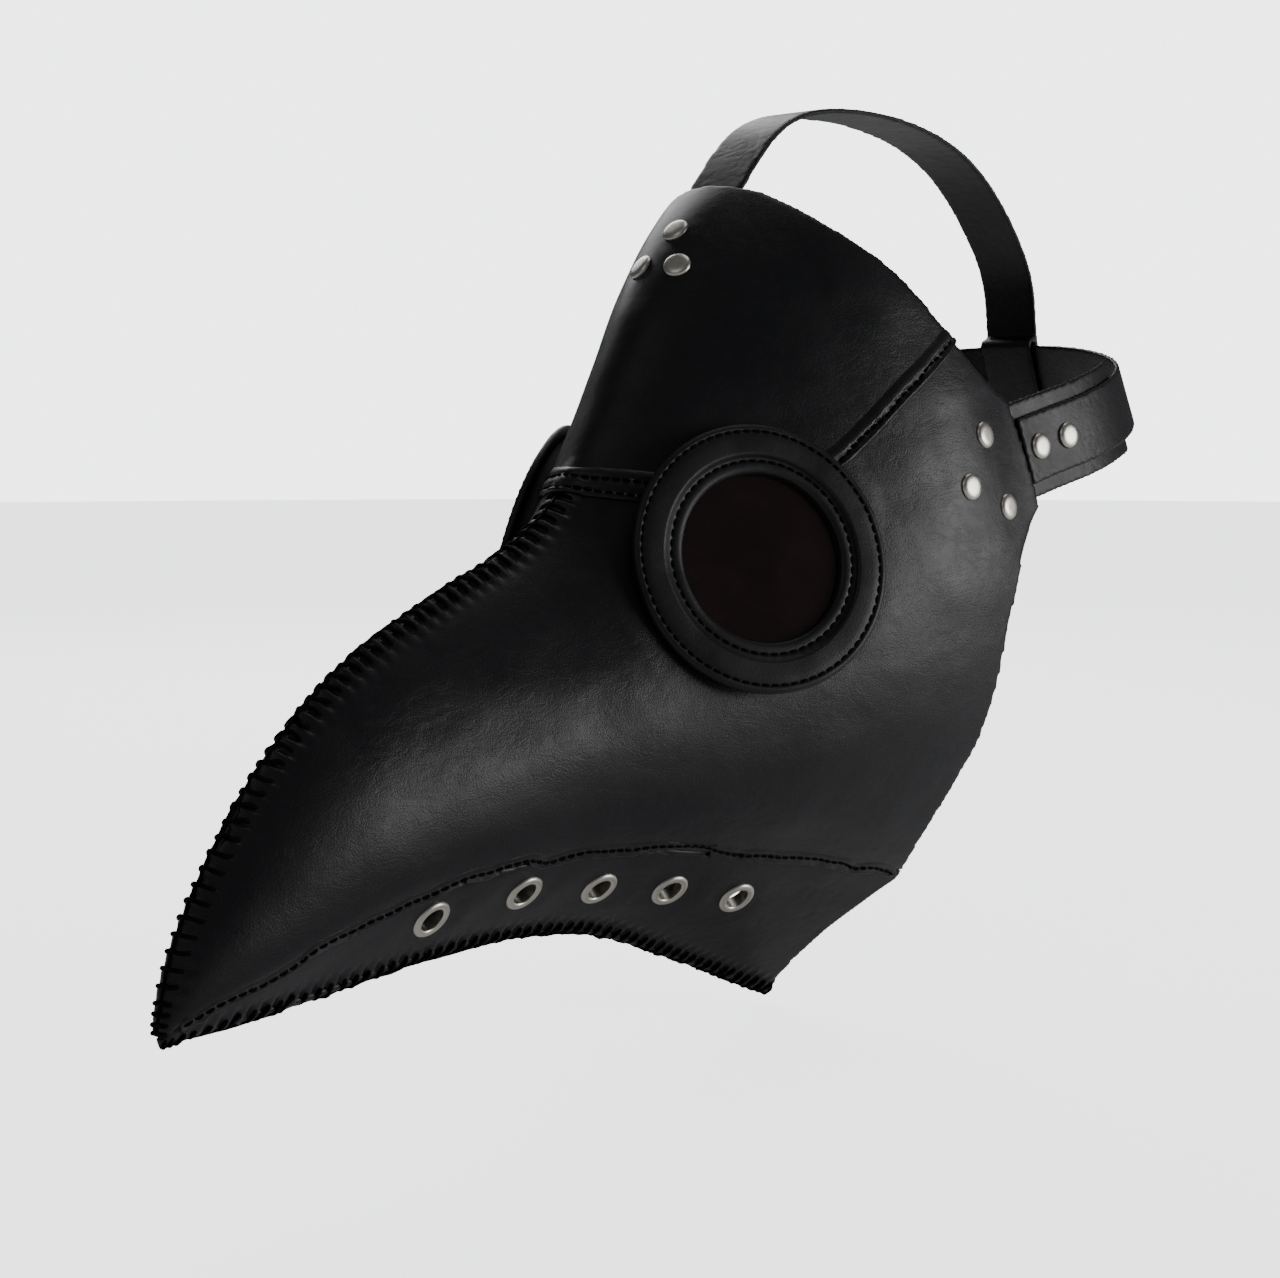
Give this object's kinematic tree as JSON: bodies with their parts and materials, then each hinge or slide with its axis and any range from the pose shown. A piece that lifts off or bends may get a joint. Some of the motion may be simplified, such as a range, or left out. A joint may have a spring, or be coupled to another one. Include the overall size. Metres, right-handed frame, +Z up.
{
  "type": "plague doctor mask",
  "caption": "Leather plague doctor mask with a long curved beak, round raised eye rings with dark lenses, vent eyelets, laced seams and a buckled head harness.",
  "frame": {"origin": "centre of the wearer's head, level with the eyes and midway between the ears, where a head holds the mask", "axes": "+Z up; the beak points along -Y; +X is the wearer's left; the mask's shell is symmetric about the plane X = 0"},
  "size_m": [0.1634, 0.4412, 0.3137],
  "materials": {
    "leather": "satin",
    "ring_leather": "satin",
    "strap_leather": "satin",
    "stiffener": "matt",
    "lens": "gloss",
    "nickel": "satin",
    "thread": "matt"
  },
  "bodies": {
    "mask": {"forehead_panel": "leather", "forehead_rivets": "nickel", "top_strap": "strap_leather", "left_strap": "strap_leather", "right_strap": "strap_leather", "fold_rivets": "nickel", "ridge_lacing": "thread", "keel_lacing": "thread", "left_cheek_panel": "leather", "left_lower_panel": "leather", "left_eye_ring": "ring_leather", "left_ring_core": "stiffener", "left_lens": "lens", "left_lens_retainer": "stiffener", "left_anchor_tab": "strap_leather", "left_anchor_rivets": "nickel", "left_strap_rivets": "nickel", "left_eyelets": "nickel", "left_eyelet_washers": "nickel", "right_cheek_panel": "leather", "right_lower_panel": "leather", "right_eye_ring": "ring_leather", "right_ring_core": "stiffener", "right_lens": "lens", "right_lens_retainer": "stiffener", "right_anchor_tab": "strap_leather", "right_anchor_rivets": "nickel", "right_strap_rivets": "nickel", "right_eyelets": "nickel", "right_eyelet_washers": "nickel"},
    "frame": {"buckle_frame": "nickel"},
    "tongue": {"buckle_tongue": "nickel"},
    "keeper": {"strap_keeper": "strap_leather"}
  },
  "joints": [
    {"name": "frame_tilt", "type": "hinge", "parent": "mask", "child": "frame", "pos_m": [-0.0448, 0.09993, 0.06053], "axis": [0.0897, -0.3746, 0.9228], "range_deg": [0, 8]},
    {"name": "tongue_lift", "type": "hinge", "parent": "frame", "child": "tongue", "pos_m": [-0.0448, 0.09993, 0.06053], "axis": [0.0897, -0.3746, 0.9228], "range_deg": [0, 12]},
    {"name": "keeper_slide", "type": "hinge", "parent": "mask", "child": "keeper", "pos_m": [0, 0.03804, 0.04429], "axis": [0, -0.2538, 0.9673], "range_deg": [-4.5, 4.5]}
  ]
}
